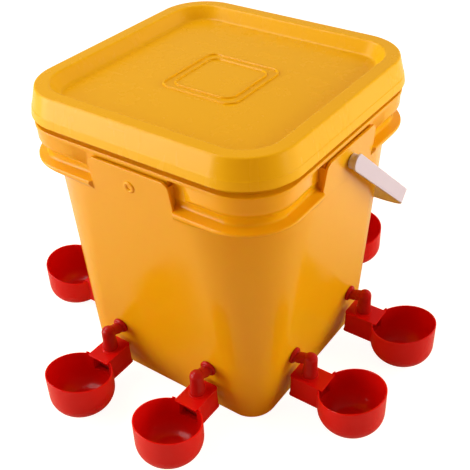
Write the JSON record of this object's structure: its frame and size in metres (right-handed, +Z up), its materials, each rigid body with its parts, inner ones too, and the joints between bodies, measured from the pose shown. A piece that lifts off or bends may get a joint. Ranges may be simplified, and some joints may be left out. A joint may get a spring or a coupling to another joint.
{
  "type": "poultry drinker",
  "caption": "Square lidded water pail with a swinging carry handle and float-valve drinking cups on elbow fittings round its base.",
  "frame": {"origin": "middle of the pail's base, on the floor", "axes": "+Z up; -Y and +X are the two sides that the picture shows; the handle swings about X and rests on the +Y side"},
  "size_m": [0.492, 0.492, 0.36],
  "materials": {
    "pail_plastic": "glossy moulded polypropylene, warm yellow",
    "lid_plastic": "satin-gloss moulded polypropylene, warm yellow",
    "handle_plastic": "satin white moulded plastic",
    "cup_plastic": "glossy moulded red plastic",
    "fitting_plastic": "glossy moulded red plastic",
    "float_plastic": "satin red plastic",
    "seal_rubber": "black rubber",
    "gasket_rubber": "pale silicone rubber"
  },
  "bodies": {
    "root": {"bucket": "pail_plastic", "elbow_1": "fitting_plastic", "elbow_2": "fitting_plastic", "elbow_3": "fitting_plastic", "elbow_4": "fitting_plastic", "elbow_5": "fitting_plastic", "elbow_6": "fitting_plastic", "elbow_7": "fitting_plastic", "elbow_8": "fitting_plastic", "stem_o_ring_1": "seal_rubber", "stem_o_ring_2": "seal_rubber", "stem_o_ring_3": "seal_rubber", "stem_o_ring_4": "seal_rubber", "stem_o_ring_5": "seal_rubber", "stem_o_ring_6": "seal_rubber", "stem_o_ring_7": "seal_rubber", "stem_o_ring_8": "seal_rubber", "lock_nut_1": "fitting_plastic", "lock_nut_2": "fitting_plastic", "lock_nut_3": "fitting_plastic", "lock_nut_4": "fitting_plastic", "lock_nut_5": "fitting_plastic", "lock_nut_6": "fitting_plastic", "lock_nut_7": "fitting_plastic", "lock_nut_8": "fitting_plastic", "wall_washer_1": "seal_rubber", "wall_washer_2": "seal_rubber", "wall_washer_3": "seal_rubber", "wall_washer_4": "seal_rubber", "wall_washer_5": "seal_rubber", "wall_washer_6": "seal_rubber", "wall_washer_7": "seal_rubber", "wall_washer_8": "seal_rubber"},
    "lid": {"lid": "lid_plastic", "lid_gasket": "gasket_rubber"},
    "handle": {"carry_handle": "handle_plastic"},
    "cup_1": {"cup_1": "cup_plastic"},
    "float_1": {"float_1": "float_plastic", "float_seal_1": "seal_rubber"},
    "cup_2": {"cup_2": "cup_plastic"},
    "float_2": {"float_2": "float_plastic", "float_seal_2": "seal_rubber"},
    "cup_3": {"cup_3": "cup_plastic"},
    "float_3": {"float_3": "float_plastic", "float_seal_3": "seal_rubber"},
    "cup_4": {"cup_4": "cup_plastic"},
    "float_4": {"float_4": "float_plastic", "float_seal_4": "seal_rubber"},
    "cup_5": {"cup_5": "cup_plastic"},
    "float_5": {"float_5": "float_plastic", "float_seal_5": "seal_rubber"},
    "cup_6": {"cup_6": "cup_plastic"},
    "float_6": {"float_6": "float_plastic", "float_seal_6": "seal_rubber"},
    "cup_7": {"cup_7": "cup_plastic"},
    "float_7": {"float_7": "float_plastic", "float_seal_7": "seal_rubber"},
    "cup_8": {"cup_8": "cup_plastic"},
    "float_8": {"float_8": "float_plastic", "float_seal_8": "seal_rubber"}
  },
  "joints": [
    {"name": "lid_lift", "type": "slide", "parent": "root", "child": "lid", "axis": [0, 0, 1], "range_m": [0, 0.055]},
    {"name": "handle_swing", "type": "hinge", "parent": "root", "child": "handle", "pos_m": [0, 0, 0.2945], "axis": [1, 0, 0], "range_deg": [0, 261.9]},
    {"name": "cup_1_swivel", "type": "hinge", "parent": "root", "child": "cup_1", "pos_m": [-0.0645, -0.15521, 0.046], "axis": [0, 0, 1], "range_deg": [-28, 28]},
    {"name": "float_1_rise", "type": "slide", "parent": "cup_1", "child": "float_1", "axis": [0, 0, 1], "range_m": [0, 0.004]},
    {"name": "cup_2_swivel", "type": "hinge", "parent": "root", "child": "cup_2", "pos_m": [0.0645, -0.15521, 0.046], "axis": [0, 0, 1], "range_deg": [-28, 28]},
    {"name": "float_2_rise", "type": "slide", "parent": "cup_2", "child": "float_2", "axis": [0, 0, 1], "range_m": [0, 0.004]},
    {"name": "cup_3_swivel", "type": "hinge", "parent": "root", "child": "cup_3", "pos_m": [0.15521, -0.0645, 0.046], "axis": [0, 0, 1], "range_deg": [-28, 28]},
    {"name": "float_3_rise", "type": "slide", "parent": "cup_3", "child": "float_3", "axis": [0, 0, 1], "range_m": [0, 0.004]},
    {"name": "cup_4_swivel", "type": "hinge", "parent": "root", "child": "cup_4", "pos_m": [0.15521, 0.0645, 0.046], "axis": [0, 0, 1], "range_deg": [-28, 28]},
    {"name": "float_4_rise", "type": "slide", "parent": "cup_4", "child": "float_4", "axis": [0, 0, 1], "range_m": [0, 0.004]},
    {"name": "cup_5_swivel", "type": "hinge", "parent": "root", "child": "cup_5", "pos_m": [0.0645, 0.15521, 0.046], "axis": [0, 0, 1], "range_deg": [-28, 28]},
    {"name": "float_5_rise", "type": "slide", "parent": "cup_5", "child": "float_5", "axis": [0, 0, 1], "range_m": [0, 0.004]},
    {"name": "cup_6_swivel", "type": "hinge", "parent": "root", "child": "cup_6", "pos_m": [-0.0645, 0.15521, 0.046], "axis": [0, 0, 1], "range_deg": [-28, 28]},
    {"name": "float_6_rise", "type": "slide", "parent": "cup_6", "child": "float_6", "axis": [0, 0, 1], "range_m": [0, 0.004]},
    {"name": "cup_7_swivel", "type": "hinge", "parent": "root", "child": "cup_7", "pos_m": [-0.15521, 0.0645, 0.046], "axis": [0, 0, 1], "range_deg": [-28, 28]},
    {"name": "float_7_rise", "type": "slide", "parent": "cup_7", "child": "float_7", "axis": [0, 0, 1], "range_m": [0, 0.004]},
    {"name": "cup_8_swivel", "type": "hinge", "parent": "root", "child": "cup_8", "pos_m": [-0.15521, -0.0645, 0.046], "axis": [0, 0, 1], "range_deg": [-28, 28]},
    {"name": "float_8_rise", "type": "slide", "parent": "cup_8", "child": "float_8", "axis": [0, 0, 1], "range_m": [0, 0.004]}
  ]
}
